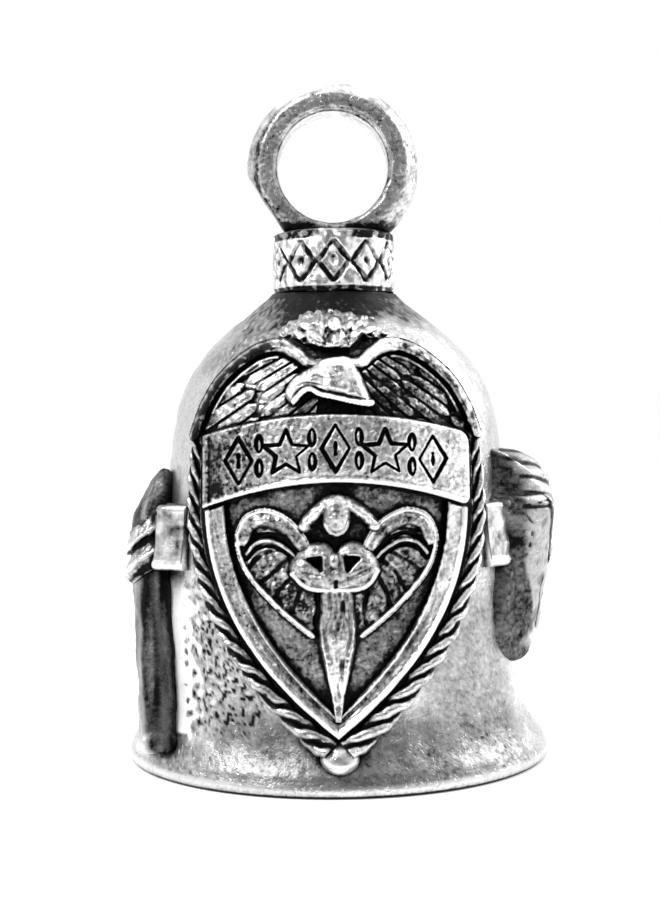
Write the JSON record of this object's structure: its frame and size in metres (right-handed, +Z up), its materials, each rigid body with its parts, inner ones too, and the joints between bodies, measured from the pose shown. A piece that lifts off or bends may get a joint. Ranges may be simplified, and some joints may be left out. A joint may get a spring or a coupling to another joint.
{
  "type": "rider's bell",
  "caption": "Small cast pewter bell with a hanging ring, a raised shield badge, a belt carrying a baton and a holster, a flared lip and a swinging clapper.",
  "frame": {"origin": "middle of the lip's underside, on the bell's axis", "axes": "+Z up along the bell's axis to the hanging ring; the badge faces -Y; the holster is on +X and the baton on -X"},
  "size_m": [0.0244, 0.0245, 0.0383],
  "materials": {
    "bright_pewter": "satin",
    "raised_pewter": "satin",
    "dark_patina": "satin",
    "worn_pewter": "satin",
    "clapper_pewter": "satin",
    "steel_wire": "satin"
  },
  "bodies": {
    "bell": {"bell_shell": "bright_pewter", "neck_collar": "bright_pewter", "hanging_ring": "worn_pewter", "badge_plate": "dark_patina", "rope_border_left": "raised_pewter", "rope_border_right": "raised_pewter", "border_ball": "raised_pewter", "shield_frame": "raised_pewter", "banner": "raised_pewter", "eagle_wing_left": "worn_pewter", "eagle_wing_right": "worn_pewter", "eagle_body": "raised_pewter", "crest_rays": "raised_pewter", "figure_body": "raised_pewter", "figure_wing_left": "worn_pewter", "figure_wing_right": "worn_pewter", "duty_belt": "bright_pewter", "baton": "worn_pewter", "baton_ring": "worn_pewter", "holster": "worn_pewter", "pistol_grip": "worn_pewter", "clapper_staple": "steel_wire"},
    "link": {"clapper_link": "steel_wire"},
    "clapper": {"clapper": "clapper_pewter"}
  },
  "joints": [
    {"name": "link_swing", "type": "hinge", "parent": "bell", "child": "link", "pos_m": [0, 0, 0.0209], "axis": [1, 0, 0], "range_deg": [-16, 16]},
    {"name": "clapper_swing", "type": "hinge", "parent": "link", "child": "clapper", "pos_m": [0, 0, 0.01721], "axis": [0, 1, 0], "range_deg": [-21, 21]}
  ]
}
